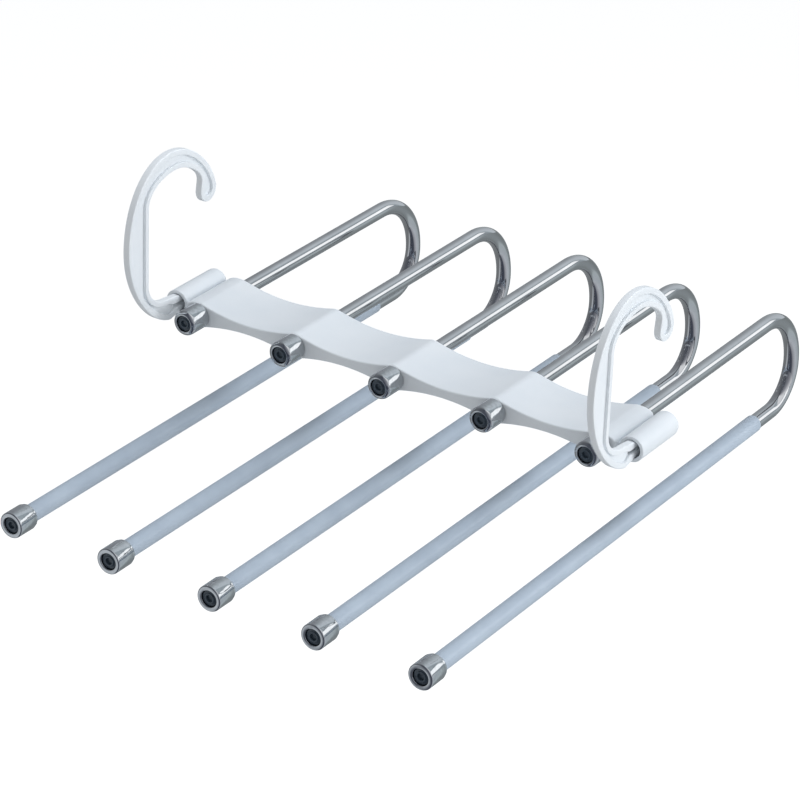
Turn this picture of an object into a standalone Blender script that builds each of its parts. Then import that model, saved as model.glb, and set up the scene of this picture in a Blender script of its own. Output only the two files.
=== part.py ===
"""Multi tier trouser hanger: a scalloped plastic bridge, two swivelling hooks and five U tubes.

Frame: metres, +Z up. The origin is where a wardrobe rod carries the hanger: the underside of
the hooks' crowns, midway between the two hooks. The bridge runs along X, the tubes along Y
with their open ends at -Y.
"""
import math

import bmesh
import bpy

MM = 0.001

# Tiers and bridge
TIERS = 5
PITCH = 58 * MM
BRIDGE_DEPTH = 36.6 * MM
RIDGE_WALL = 1.15 * MM
NECK_HALF = 2.6 * MM
RIDGE_SOFT = 3 * MM
END_LAND = 8.5 * MM
END_DROP = 0.8 * MM
END_CORNER_R = 1.5 * MM

# Where the bridge hangs below and behind the rod seat
SEAT_DROP = 75.3 * MM
SEAT_REACH = 19.4 * MM

# Barrels at the ends of the bridge, one for each hook
BARREL_WALL = 1.15 * MM
BARREL_RISE = 1.5 * MM
BARREL_GROOVE = 0.5 * MM
BARREL_PROUD = 0.2 * MM
BARREL_MOUTH_CHAMFER = 0.5 * MM
BARREL_REAR_ROUND = 2.5 * MM
BARREL_WEB_HALF = 3.5 * MM
BARREL_WALL_REAR = 3.5 * MM
CHAMBER_LENGTH = 8 * MM

# U tubes
TUBE_R = 3.95 * MM
TUBE_WALL = 0.8 * MM
LEG_GAP = 54 * MM
UPPER_BEND_R = 33.5 * MM
UPPER_LEG_REAR = 145 * MM
LOWER_LEG_FRONT = 168 * MM

# Sleeves on the lower legs
SLEEVE_WALL = 0.3 * MM
SLEEVE_BARE = 17 * MM

# Caps and plugs on the tube ends
CAP_WALL = 2.35 * MM
CAP_LENGTH = 12.8 * MM
BRIDGE_CAP_ROUND = 2.1 * MM
LEG_CAP_ROUND = 0.7 * MM
CAP_REAR_CHAMFER = 0.6 * MM
CAP_BAND_LENGTH = 1.6 * MM
CAP_BAND_STEP = 0.45 * MM
PLUG_SUNK = 0.9 * MM
PLUG_DISC = 1.7 * MM
PLUG_STEM = 4.5 * MM
PLUG_RING_R = 2.7 * MM
PLUG_RING_WIDTH = 0.95 * MM
PLUG_RING_HEIGHT = 0.4 * MM
PLUG_HOLE_DEPTH = 0.8 * MM

# Retaining rings in the rear face of the bridge
RING_WIDTH = 0.9 * MM
RING_THICKNESS = 0.8 * MM
COUNTERBORE_DEPTH = 2.5 * MM

# Hooks: half axes of the curves that bound the plate, from the rod seat
HOOK_THICKNESS = 3.8 * MM
HOOK_PANEL_DEPTH = 0.9 * MM
HOOK_OUTER_RIM = 3 * MM
HOOK_INNER_RIM = 2.8 * MM
CROWN_THICKNESS = 10.7 * MM
SPINE_WIDTH = 16.3 * MM
THROAT_HALF_WIDTH = 21.8 * MM
THROAT_RISE = 13.3 * MM
THROAT_FLAT_SHARE = 0.07
HEEL_WIDTH = 16.2 * MM
HEEL_HEIGHT_SHARE = 0.139
HEEL_LIP = 1.8 * MM
BACK_OFFSET = 4 * MM
NOSE_DROP = 36.5 * MM
NOSE_FLAT_SHARE = 0.032
BACK_HEIGHT_SHARE = 0.4715
BACK_FLAT_SHARE = -0.012
KEEL_OFFSET = 1.4 * MM
KEEL_LIP = 2.7 * MM
KEEL_FLAT_SHARE = 0.03
TIP_R = 6.5 * MM
TIP_PANEL_R = 3.2 * MM
TIP_ANGLE = math.radians(12)

# Forked snap pin at the foot of each hook
PIN_HALF = 4 * MM
PIN_SLOT_HALF = 1 * MM
PIN_SLOT_LENGTH = 5.5 * MM
PIN_BARB_STEP = 0.8 * MM
PIN_BARB_LENGTH = 4.3 * MM
PIN_NOSE = 1.5 * MM

# Fits
GAP = 0.3 * MM
OVERRUN = 2 * MM

# Mesh fineness
TUBE_SIDES = 12
BEND_STEPS = 6
TURNED_SIDES = 14
BARREL_SIDES = 24
SPAN_STEPS = 7
ARC_STEPS = 9

# Sizes that follow
TIER_X = [(tier - (TIERS - 1) / 2) * PITCH for tier in range(TIERS)]
HALF_PITCH = PITCH / 2
BRIDGE_Y = SEAT_REACH
BORE_Z = -SEAT_DROP
FRONT_Y = -BRIDGE_DEPTH / 2
REAR_Y = BRIDGE_DEPTH / 2
BORE_R = TUBE_R + GAP
COUNTERBORE_R = BORE_R + RING_WIDTH + GAP
RIDGE_HALF = COUNTERBORE_R + RIDGE_WALL
CAP_R = BORE_R + CAP_WALL
SLEEVE_R = BORE_R + SLEEVE_WALL
BARREL_BORE_R = math.hypot(PIN_HALF, HOOK_THICKNESS / 2) + GAP
CHAMBER_R = math.hypot(PIN_HALF + PIN_BARB_STEP, HOOK_THICKNESS / 2) + GAP
BARREL_R = CHAMBER_R + BARREL_WALL
BRIDGE_END = TIER_X[-1] + END_LAND
BARREL_X = BRIDGE_END + BARREL_GROOVE + BARREL_R
PIN_Z = BARREL_RISE
LOWER_BEND_R = LEG_GAP - UPPER_BEND_R
LOWER_LEG_REAR = UPPER_LEG_REAR + UPPER_BEND_R - LOWER_BEND_R
CHAMBER_REAR = REAR_Y - BARREL_WALL_REAR
CHAMBER_FRONT = CHAMBER_REAR - CHAMBER_LENGTH


def material(name, colour, roughness, metallic=0.0):
    """A Principled material with one colour, roughness and metallic value."""
    mat = bpy.data.materials.new(name)
    mat.use_nodes = True
    shader = mat.node_tree.nodes["Principled BSDF"]
    shader.inputs["Base Color"].default_value = (*colour, 1.0)
    shader.inputs["Roughness"].default_value = roughness
    shader.inputs["Metallic"].default_value = metallic
    return mat


def empty(name, location):
    """An empty that marks a joint's axis and carries the pieces that turn about it."""
    marker = bpy.data.objects.new(name, None)
    marker.location = location
    bpy.context.scene.collection.objects.link(marker)
    return marker


def add_object(name, bm, mat=None, parent=None):
    """Turns a bmesh into an object, faces outwards and smooth up to 35 degrees."""
    bmesh.ops.recalc_face_normals(bm, faces=bm.faces)
    mesh = bpy.data.meshes.new(name)
    bm.to_mesh(mesh)
    bm.free()
    mesh.shade_smooth()
    mesh.set_sharp_from_angle(angle=math.radians(35))
    if mat:
        mesh.materials.append(mat)
    obj = bpy.data.objects.new(name, mesh)
    bpy.context.scene.collection.objects.link(obj)
    obj.parent = parent
    return obj


def copy_object(name, source, parent):
    """Another object with the same mesh, carried by another empty."""
    obj = bpy.data.objects.new(name, source.data)
    bpy.context.scene.collection.objects.link(obj)
    obj.parent = parent
    return obj


def tool(name, bm, parent):
    """A shape that only cuts or adds to another one."""
    obj = add_object(name, bm, parent=parent)
    obj.hide_render = True
    obj.display_type = "WIRE"
    return obj


def combine(obj, other, operation):
    """Adds a Boolean modifier that keeps the exact solver."""
    modifier = obj.modifiers.new(f"{operation.lower()}_{other.name}", "BOOLEAN")
    modifier.operation = operation
    modifier.solver = "EXACT"
    modifier.object = other


def turned(profile, sides=TURNED_SIDES, closed=True, centre=(0, 0)):
    """Revolves a profile of (y, radius) points about an axis along Y.

    A closed profile gives a ring. An open one is capped flat at both ends.
    """
    bm = bmesh.new()
    cx, cz = centre
    angles = [2 * math.pi * (k + 0.5) / sides for k in range(sides)]
    rings = [[bm.verts.new((cx + r * math.cos(a), y, cz + r * math.sin(a))) for a in angles]
             for y, r in profile]
    for first, second in zip(rings, rings[1:]):
        join_rings(bm, first, second)
    if closed:
        join_rings(bm, rings[-1], rings[0])
    else:
        bm.faces.new(rings[0])
        bm.faces.new(rings[-1][::-1])
    return bm


def join_rings(bm, first, second):
    """Faces between two rings with the same number of vertices."""
    count = len(first)
    for k in range(count):
        n = (k + 1) % count
        bm.faces.new((first[k], first[n], second[n], second[k]))


def extruded(outline, depth, place):
    """A prism of an outline. place turns (u, w, d) into a point, d being the way through."""
    bm = bmesh.new()
    near = [bm.verts.new(place(u, w, -depth / 2)) for u, w in outline]
    far = [bm.verts.new(place(u, w, depth / 2)) for u, w in outline]
    bm.faces.new(near)
    bm.faces.new(far[::-1])
    join_rings(bm, near, far)
    return bm


def arc(centre, width, height, start, end, steps=ARC_STEPS, flat_share=0.0):
    """Points on an ellipse about centre, from one angle to another, both ends included.

    flat_share draws the ellipse in towards its centre, most at 45 degrees to its axes.
    """
    points = []
    for k in range(steps + 1):
        a = start + (end - start) * k / steps
        scale = 1 - flat_share * math.sin(2 * a) ** 2
        points.append((centre[0] + scale * width * math.cos(a),
                       centre[1] + scale * height * math.sin(a)))
    return points


def swept_shell(path, outer, inner, sides=TUBE_SIDES):
    """A hollow tube along a path in the YZ plane. Each path entry is (y, z, direction)."""
    bm = bmesh.new()
    angles = [2 * math.pi * (k + 0.5) / sides for k in range(sides)]
    skins = []
    for radius in (outer, inner):
        rings = []
        for y, z, direction in path:
            ny, nz = -math.sin(direction), math.cos(direction)
            rings.append([bm.verts.new((radius * math.cos(a),
                                        y + radius * math.sin(a) * ny,
                                        z + radius * math.sin(a) * nz)) for a in angles])
        skins.append(rings)
    for rings in skins:
        for first, second in zip(rings, rings[1:]):
            join_rings(bm, first, second)
    for end in (0, -1):
        join_rings(bm, skins[0][end], skins[1][end])
    return bm


def half_height(x):
    """Half the bridge's height at x: parabolic scallops that meet in softened ridges."""
    beyond = abs(x) - TIER_X[-1]
    nearest = min(abs(x - tier) for tier in TIER_X)
    rise = RIDGE_HALF - NECK_HALF

    def scallop(distance):
        share = (HALF_PITCH - distance) / HALF_PITCH
        return NECK_HALF + rise * share ** 2

    slope = 2 * rise * (HALF_PITCH - RIDGE_SOFT) / HALF_PITCH ** 2
    crest = scallop(RIDGE_SOFT) + slope * RIDGE_SOFT / 2
    if beyond > 0:
        return crest - END_DROP * (beyond / END_LAND) ** 2
    if nearest < RIDGE_SOFT:
        return crest - slope * nearest ** 2 / (2 * RIDGE_SOFT)
    return scallop(nearest)


def bridge_outline():
    """The bridge seen from the front: scallops, end corners and a web out to each barrel."""
    right = []
    stations = []
    for tier in TIER_X[:-1]:
        run = PITCH - 2 * RIDGE_SOFT
        stations += [tier, tier + RIDGE_SOFT / 2]
        stations += [tier + RIDGE_SOFT + run * k / SPAN_STEPS for k in range(SPAN_STEPS + 1)]
        stations += [tier + PITCH - RIDGE_SOFT / 2]
    stations.append(TIER_X[-1])
    corner_x = BRIDGE_END - END_CORNER_R
    corner_z = half_height(corner_x) - END_CORNER_R
    right += arc((corner_x, corner_z), END_CORNER_R, END_CORNER_R, math.pi / 2, 0, 3)
    right += [(BRIDGE_END, BARREL_WEB_HALF), (BARREL_X, BARREL_WEB_HALF)]
    left = [(-x, z) for x, z in reversed(right)]
    top = left + [(x, half_height(x)) for x in stations] + right
    bottom = [(x, -z) for x, z in reversed(top)]
    return top + bottom


def make_bridge(mat):
    """The bar with its barrels joined on and the tube bores, counterbores and sockets cut."""
    frame = empty("bridge_frame", (0, BRIDGE_Y, BORE_Z))
    bar = extruded(bridge_outline(), BRIDGE_DEPTH, lambda x, z, y: (x, y, z))
    bridge = add_object("bridge", bar, mat, frame)
    front = FRONT_Y - BARREL_PROUD
    rear = REAR_Y + BARREL_PROUD
    barrel = [(front, BARREL_R - BARREL_MOUTH_CHAMFER), (front + BARREL_MOUTH_CHAMFER, BARREL_R)]
    barrel += [(rear - BARREL_REAR_ROUND + y, r) for y, r in
               arc((0, BARREL_R - BARREL_REAR_ROUND), BARREL_REAR_ROUND,
                   BARREL_REAR_ROUND, math.pi / 2, 0, 3)]
    socket = [(front - OVERRUN, BARREL_BORE_R), (CHAMBER_FRONT, BARREL_BORE_R),
              (CHAMBER_FRONT, CHAMBER_R), (CHAMBER_REAR, CHAMBER_R)]
    ends = (("left", (-BARREL_X, PIN_Z)), ("right", (BARREL_X, PIN_Z)))
    for side, centre in ends:
        body = turned(barrel, BARREL_SIDES, closed=False, centre=centre)
        combine(bridge, tool(f"barrel_{side}", body, frame), "UNION")
    for side, centre in ends:
        hole = turned(socket, BARREL_SIDES, closed=False, centre=centre)
        combine(bridge, tool(f"socket_{side}", hole, frame), "DIFFERENCE")
    floor = REAR_Y - COUNTERBORE_DEPTH
    bore = [(FRONT_Y - OVERRUN, BORE_R), (floor, BORE_R), (floor, COUNTERBORE_R),
            (REAR_Y + OVERRUN, COUNTERBORE_R)]
    for number, x in enumerate(TIER_X, 1):
        hole = turned(bore, TURNED_SIDES + 4, closed=False, centre=(x, 0))
        combine(bridge, tool(f"tube_bore_{number}", hole, frame), "DIFFERENCE")
    return bridge


def tube_path():
    """The U's centre line: upper leg, wide upper bend, tighter lower bend, lower leg."""
    upper_front = FRONT_Y - GAP - CAP_LENGTH + plug_depth()
    lower_front = -LOWER_LEG_FRONT + plug_depth()
    bend_z = -UPPER_BEND_R
    path = [(upper_front, 0, 0)]
    quarter = math.pi / 2
    for k in range(BEND_STEPS + 1):
        a = quarter * k / BEND_STEPS
        path.append((UPPER_LEG_REAR + UPPER_BEND_R * math.sin(a),
                     bend_z + UPPER_BEND_R * math.cos(a), -a))
    for k in range(1, BEND_STEPS + 1):
        a = quarter * k / BEND_STEPS
        path.append((LOWER_LEG_REAR + LOWER_BEND_R * math.cos(a),
                     bend_z - LOWER_BEND_R * math.sin(a), -quarter - a))
    path.append((lower_front, -LEG_GAP, -math.pi))
    return path


def plug_depth():
    """How far behind a cap's face its tube ends: the plug's disc lies between."""
    return PLUG_SUNK + PLUG_DISC + GAP


def collar_profile(front, rounding, band):
    """A cap seen in half section, front face at the given y, with an open bore."""
    rear = front + CAP_LENGTH
    profile = [(front, BORE_R)]
    profile += [(front + rounding - y, r) for y, r in
                arc((0, CAP_R - rounding), rounding, rounding, 0, math.pi / 2, 2)]
    if band:
        step = rear - CAP_BAND_LENGTH
        profile += [(step, CAP_R), (step, CAP_R - CAP_BAND_STEP)]
        profile += [(rear - CAP_BAND_STEP, CAP_R - CAP_BAND_STEP),
                    (rear, CAP_R - 2 * CAP_BAND_STEP)]
    else:
        profile += [(rear - CAP_REAR_CHAMFER, CAP_R), (rear, CAP_R - CAP_REAR_CHAMFER)]
    profile.append((rear, BORE_R))
    return profile


def plug_profile(front):
    """A plug in half section: sunk face with a raised ring round a blind hole, and a stem."""
    face = front + PLUG_SUNK
    back = face + PLUG_DISC
    stem_r = TUBE_R - TUBE_WALL - GAP
    hole_r = PLUG_RING_R - PLUG_RING_WIDTH
    return [(face + PLUG_HOLE_DEPTH, hole_r), (face - PLUG_RING_HEIGHT, hole_r),
            (face - PLUG_RING_HEIGHT, PLUG_RING_R), (face, PLUG_RING_R), (face, TUBE_R),
            (back, TUBE_R), (back, stem_r), (back + PLUG_STEM, stem_r)]


def make_tiers(steel, soft, chrome, dark, spring):
    """The five U tubes with their sleeves, caps, plugs and retaining rings."""
    upper_face = FRONT_Y - GAP - CAP_LENGTH
    lower_face = -LOWER_LEG_FRONT
    sleeve_front = lower_face + CAP_LENGTH + GAP
    sleeve_rear = LOWER_LEG_REAR - SLEEVE_BARE
    sleeve_path = [(sleeve_rear, -LEG_GAP, -math.pi), (sleeve_front, -LEG_GAP, -math.pi)]
    ring_y = REAR_Y - COUNTERBORE_DEPTH + GAP
    ring_r = TUBE_R + GAP
    ring = [(ring_y, ring_r), (ring_y, ring_r + RING_WIDTH),
            (ring_y + RING_THICKNESS, ring_r + RING_WIDTH), (ring_y + RING_THICKNESS, ring_r)]
    lower = (0, -LEG_GAP)
    upper_collar = collar_profile(upper_face, BRIDGE_CAP_ROUND, band=False)
    lower_collar = collar_profile(lower_face, LEG_CAP_ROUND, band=True)
    upper_plug = plug_profile(upper_face)
    lower_plug = plug_profile(lower_face)
    shapes = {
        "tube": (swept_shell(tube_path(), TUBE_R, TUBE_R - TUBE_WALL), steel),
        "sleeve": (swept_shell(sleeve_path, SLEEVE_R, SLEEVE_R - SLEEVE_WALL), soft),
        "bridge_cap": (turned(upper_collar), chrome),
        "leg_cap": (turned(lower_collar, centre=lower), chrome),
        "bridge_plug": (turned(upper_plug, TUBE_SIDES, closed=False), dark),
        "leg_plug": (turned(lower_plug, TUBE_SIDES, closed=False, centre=lower), dark),
        "retaining_ring": (turned(ring), spring),
    }
    firsts = {}
    for number, x in enumerate(TIER_X, 1):
        axis = empty(f"tube_axis_{number}", (x, BRIDGE_Y, BORE_Z))
        for name, (bm, mat) in shapes.items():
            if number == 1:
                firsts[name] = add_object(f"{name}_1", bm, mat, axis)
            else:
                copy_object(f"{name}_{number}", firsts[name], axis)


def shifted(line, distance):
    """An open line of points moved to its own left by a distance."""
    moved = []
    for k, (u, w) in enumerate(line):
        before = line[max(k - 1, 0)]
        after = line[min(k + 1, len(line) - 1)]
        du, dw = after[0] - before[0], after[1] - before[1]
        length = math.hypot(du, dw)
        moved.append((u - distance * dw / length, w + distance * du / length))
    return moved


def hook_lines():
    """The curves that bound the plate, as (y, z) from the rod seat.

    Returns the centre and last angle of the round tip, the outer line of nose, back and keel,
    and the inner line of heel, chord and throat. The plate lies to the left of both lines.
    """
    quarter = math.pi / 2
    pin_z = PIN_Z - SEAT_DROP
    height = CROWN_THICKNESS - pin_z + PIN_HALF + KEEL_LIP
    back_rise = BACK_HEIGHT_SHARE * height
    keel_drop = height - back_rise
    heel_drop = HEEL_HEIGHT_SHARE * height
    nose_width = THROAT_HALF_WIDTH + 2 * TIP_R + BACK_OFFSET
    back_width = THROAT_HALF_WIDTH + SPINE_WIDTH - BACK_OFFSET
    keel_width = THROAT_HALF_WIDTH + SPINE_WIDTH + KEEL_OFFSET
    nose_centre = (-BACK_OFFSET, CROWN_THICKNESS - NOSE_DROP)
    back_centre = (-BACK_OFFSET, CROWN_THICKNESS - back_rise)
    keel_centre = (KEEL_OFFSET, back_centre[1])
    heel_centre = (HEEL_WIDTH - THROAT_HALF_WIDTH, pin_z + PIN_HALF + HEEL_LIP + heel_drop)
    outer = arc(nose_centre, nose_width, NOSE_DROP, TIP_ANGLE, quarter, ARC_STEPS,
                NOSE_FLAT_SHARE)
    across = math.atan2(math.sin(TIP_ANGLE) / NOSE_DROP, math.cos(TIP_ANGLE) / nose_width)
    tip_centre = (outer[0][0] - TIP_R * math.cos(across), outer[0][1] - TIP_R * math.sin(across))
    outer += arc(back_centre, back_width, back_rise, quarter, 2 * quarter, ARC_STEPS,
                 BACK_FLAT_SHARE)[1:]
    outer += arc(keel_centre, keel_width, keel_drop, 2 * quarter, 3 * quarter, ARC_STEPS,
                 KEEL_FLAT_SHARE)[1:-1]
    inner = arc(heel_centre, HEEL_WIDTH, heel_drop, 3 * quarter, 2 * quarter, 6)
    inner += arc((0, -THROAT_RISE), THROAT_HALF_WIDTH, THROAT_RISE, 2 * quarter, quarter, 6)
    inner += arc((0, -THROAT_RISE), THROAT_HALF_WIDTH, THROAT_RISE, quarter, 0, 6,
                 THROAT_FLAT_SHARE)[1:]
    return tip_centre, across, outer, inner


def hook_outline():
    """The closed line round the whole plate, snap pin included."""
    tip_centre, across, outer, inner = hook_lines()
    tip = arc(tip_centre, TIP_R, TIP_R, -math.pi, across, 7)
    return tip + outer[1:] + pin_outline(outer[-1], inner[0]) + inner


def panel_outline():
    """The closed line round the sunk panel, one rim's width in from the plate's lines."""
    tip_centre, across, outer, inner = hook_lines()
    tip = arc(tip_centre, TIP_PANEL_R, TIP_PANEL_R, -math.pi, across, 7)
    return tip + shifted(outer, HOOK_OUTER_RIM)[1:] + shifted(inner, HOOK_INNER_RIM)


def pin_outline(keel_end, heel_start):
    """The snap pin from below: shoulder, lower edge, barb, nose, and back along the top."""
    axis_z = PIN_Z - SEAT_DROP
    mouth = SEAT_REACH + FRONT_Y - BARREL_PROUD - GAP
    barb = SEAT_REACH + CHAMBER_FRONT + GAP
    nose = barb + PIN_BARB_LENGTH
    wide = PIN_HALF + PIN_BARB_STEP
    upper = [(mouth, PIN_HALF), (barb, PIN_HALF), (barb, wide), (nose - PIN_NOSE, wide),
             (nose, PIN_HALF - PIN_NOSE)]
    lower = [(y, axis_z - z) for y, z in upper]
    upper = [(y, axis_z + z) for y, z in reversed(upper)]
    return [(mouth, keel_end[1])] + lower + upper + [(mouth, heel_start[1])]


def make_hooks(mat):
    """Both hooks: a plate, a panel sunk in each side, and the slot that splits the pin."""
    pin_z = PIN_Z - SEAT_DROP
    plate = hook_outline()
    panel = panel_outline()
    front = -HEEL_WIDTH + THROAT_HALF_WIDTH
    slot_start = SEAT_REACH + FRONT_Y - PIN_SLOT_LENGTH
    slot_end = SEAT_REACH + REAR_Y + front
    slot = [(slot_start, pin_z - PIN_SLOT_HALF), (slot_end, pin_z - PIN_SLOT_HALF),
            (slot_end, pin_z + PIN_SLOT_HALF), (slot_start, pin_z + PIN_SLOT_HALF)]
    drop = SEAT_REACH, PIN_Z - SEAT_DROP
    for side, sign in (("left", -1), ("right", 1)):
        axis = empty(f"hook_axis_{side}", (sign * BARREL_X, BRIDGE_Y, BORE_Z + PIN_Z))

        def place(y, z, x):
            return (x, y - drop[0], z - drop[1])

        hook = add_object(f"hook_{side}", extruded(plate, HOOK_THICKNESS, place), mat, axis)
        for face in (-1, 1):
            offset = face * (HOOK_THICKNESS / 2 + OVERRUN / 2 - HOOK_PANEL_DEPTH / 2)

            def sunk(y, z, x):
                return place(y, z, x + offset)

            pocket = extruded(panel, HOOK_PANEL_DEPTH + OVERRUN, sunk)
            label = "outer" if face == sign else "inner"
            combine(hook, tool(f"{label}_panel_{side}", pocket, axis), "DIFFERENCE")
        cut = extruded(slot, HOOK_THICKNESS + OVERRUN, place)
        combine(hook, tool(f"pin_slot_{side}", cut, axis), "DIFFERENCE")


for old in list(bpy.data.objects):
    bpy.data.objects.remove(old, do_unlink=True)

white = material("white ABS", (0.80, 0.84, 0.88), 0.42)
hook_white = material("white hook plastic", (0.82, 0.86, 0.90), 0.38)
steel = material("polished stainless tube", (0.62, 0.62, 0.63), 0.16, 1.0)
soft = material("blue-grey soft sleeve", (0.46, 0.54, 0.66), 0.5)
chrome = material("chrome plate", (0.66, 0.66, 0.70), 0.08, 1.0)
dark = material("dark plug plastic", (0.02, 0.025, 0.04), 0.3)
spring = material("spring steel", (0.35, 0.35, 0.36), 0.35, 1.0)

make_bridge(white)
make_tiers(steel, soft, chrome, dark, spring)
make_hooks(hook_white)
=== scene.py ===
import math

import bmesh
import bpy
import numpy as np
from mathutils import Matrix, Vector


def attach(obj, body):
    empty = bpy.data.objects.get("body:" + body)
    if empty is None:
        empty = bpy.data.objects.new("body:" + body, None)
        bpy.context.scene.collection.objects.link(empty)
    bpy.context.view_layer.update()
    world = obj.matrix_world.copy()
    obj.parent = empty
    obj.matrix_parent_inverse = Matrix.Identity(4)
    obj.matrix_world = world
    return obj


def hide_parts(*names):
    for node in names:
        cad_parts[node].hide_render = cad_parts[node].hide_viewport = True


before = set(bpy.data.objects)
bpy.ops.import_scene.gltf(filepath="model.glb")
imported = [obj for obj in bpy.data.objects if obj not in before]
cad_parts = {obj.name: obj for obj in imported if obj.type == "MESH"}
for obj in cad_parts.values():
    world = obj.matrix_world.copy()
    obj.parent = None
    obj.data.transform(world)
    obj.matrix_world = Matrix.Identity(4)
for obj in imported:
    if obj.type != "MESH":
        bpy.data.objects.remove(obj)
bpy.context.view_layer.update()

# The bridge is one injection moulding in white ABS: a bar whose top and underside are scalloped
# between five cross bores, with a barrel at each end that the hooks' snap pins turn in. Its
# edges are rounded for the mould, and a counterbore behind each tube takes a retaining ring.
MM = 0.001
GAP = 0.3 * MM
TIER_X = np.array([-116, -58, 0, 58, 116]) * MM
BRIDGE_Y = 19.4 * MM
BORE_Z = -75.3 * MM
BRIDGE_HALF_DEPTH = 18.3 * MM
NECK_HALF = 2.6 * MM
RIDGE_HALF = 6.85 * MM
RIDGE_SOFT = 2.2 * MM
HALF_PITCH = 29 * MM
BRIDGE_END = 124.5 * MM
END_DROP = 2.6 * MM
END_ROUND = 1.2 * MM
END_ROUND_STOP = 1.45
BAR_ROWS = 420
BAR_ARC_POINTS = 7
FLAT_HOLD = 0.15 * MM
BRIDGE_EDGE_R = 0.8 * MM
BORE_R = 4.25 * MM
COUNTERBORE_R = 5.45 * MM
COUNTERBORE_DEPTH = 2.5 * MM
COUNTERBORE_CHAMFER = 0.25 * MM
BARREL_X = 131.612 * MM
BARREL_RISE = 1.5 * MM
BARREL_R = 6.55 * MM
BARREL_SET_BACK = 2.5 * MM
BARREL_PROUD = 1.2 * MM
BARREL_MOUTH_R = 0.45 * MM
BARREL_REAR_R = 2.6 * MM
SOCKET_R = 4.73 * MM
SOCKET_CHAMFER = 0.35 * MM
CHAMBER_R = 5.46 * MM
CHAMBER_REAR = 14.8 * MM
CHAMBER_LENGTH = 8 * MM
WEB_HALF = 2.8 * MM
WEB_OVERLAP = 2 * MM
CUTTER_PAST = 1 * MM
BRIDGE_SHARP_ANGLE = 32


def linear(code):
    """A hex colour as shown on a screen, turned to the linear values that the shaders take."""
    shown = [int(code[k:k + 2], 16) / 255 for k in (1, 3, 5)]
    return (*[v / 12.92 if v <= 0.04045 else ((v + 0.055) / 1.055) ** 2.4 for v in shown], 1.0)


def add(tree, kind, settings=None, inputs=None, stops=None):
    """Adds a node with its settings, its input values or links, and a ramp's colour stops."""
    node = tree.nodes.new(kind)
    for key, value in (settings or {}).items():
        setattr(node, key, value)
    for key, value in (inputs or {}).items():
        if isinstance(value, bpy.types.NodeSocket):
            tree.links.new(value, node.inputs[key])
        else:
            node.inputs[key].default_value = value
    for k, (place, colour) in enumerate(stops or []):
        stop = node.color_ramp.elements[k] if k < 2 else node.color_ramp.elements.new(place)
        stop.position = place
        stop.color = colour
    return node


def blank_material(name):
    """A material with an empty node tree. Returns it, its tree and its Object coordinates."""
    mat = bpy.data.materials.new(name)
    mat.use_nodes = True
    mat.node_tree.nodes.clear()
    coords = add(mat.node_tree, "ShaderNodeTexCoord")
    return mat, mat.node_tree, coords.outputs["Object"]


def finish_material(tree, shader_inputs):
    """Gives the tree its Principled shader with these inputs, and the output node."""
    shader = add(tree, "ShaderNodeBsdfPrincipled", inputs=shader_inputs)
    add(tree, "ShaderNodeOutputMaterial", inputs={"Surface": shader.outputs[0]})


def abs_material(name, colour, shade, roughness):
    """White ABS as moulded: a satin skin with fine spark-eroded grain and faint flow clouds.

    The real grain is about 0.05 mm, too fine to show, so it is drawn at 0.35 mm and shallow. A
    wave 14 mm long, where the moulding shrank, keeps its highlights from being quite even.
    """
    mat, tree, place = blank_material(name)
    clouds = add(tree, "ShaderNodeTexNoise", inputs={
        "Vector": place, "Scale": 1 / (22 * MM), "Detail": 3.0, "Roughness": 0.5})
    tone = add(tree, "ShaderNodeValToRGB", inputs={"Fac": clouds.outputs["Fac"]},
               stops=[(0.3, linear(shade)), (0.7, linear(colour))])
    grain = add(tree, "ShaderNodeTexNoise", inputs={
        "Vector": place, "Scale": 1 / (0.35 * MM), "Detail": 2.0, "Roughness": 0.6})
    sink = add(tree, "ShaderNodeTexNoise", inputs={
        "Vector": place, "Scale": 1 / (14 * MM), "Detail": 1.0, "Roughness": 0.4})
    gloss = add(tree, "ShaderNodeMapRange", inputs={
        "Value": grain.outputs["Fac"], "From Min": 0.25, "From Max": 0.75,
        "To Min": roughness - 0.05, "To Max": roughness + 0.06})
    skin = add(tree, "ShaderNodeBump", inputs={
        "Height": grain.outputs["Fac"], "Strength": 0.12, "Distance": 0.02 * MM})
    wave = add(tree, "ShaderNodeBump", inputs={
        "Height": sink.outputs["Fac"], "Strength": 0.25, "Distance": 0.25 * MM,
        "Normal": skin.outputs["Normal"]})
    finish_material(tree, {
        "Base Color": tone.outputs["Color"], "Roughness": gloss.outputs["Result"],
        "IOR": 1.53, "Normal": wave.outputs["Normal"]})
    return mat


def grid_faces(rows, columns, closed_rows=False, closed_columns=False):
    """Quads of a grid of points numbered row by row. A closed grid joins its last to its first."""
    i = np.arange(rows if closed_rows else rows - 1)[:, None]
    j = np.arange(columns if closed_columns else columns - 1)[None, :]
    a = i * columns + j
    b = i * columns + (j + 1) % columns
    c = ((i + 1) % rows) * columns + (j + 1) % columns
    d = ((i + 1) % rows) * columns + j
    return np.stack([a, b, c, d], -1).reshape(-1, 4).tolist()


def add_piece(name, points, faces, mat, sharp=35):
    """A new object of points and faces, faces outwards, smooth up to an angle in degrees."""
    mesh = bpy.data.meshes.new(name)
    mesh.from_pydata(np.asarray(points).reshape(-1, 3).tolist(), [], faces)
    bm = bmesh.new()
    bm.from_mesh(mesh)
    bmesh.ops.recalc_face_normals(bm, faces=bm.faces)
    bm.to_mesh(mesh)
    bm.free()
    mesh.shade_smooth()
    mesh.set_sharp_from_angle(angle=math.radians(sharp))
    if mat:
        mesh.materials.append(mat)
    piece = bpy.data.objects.new(name, mesh)
    bpy.context.scene.collection.objects.link(piece)
    return piece


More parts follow.
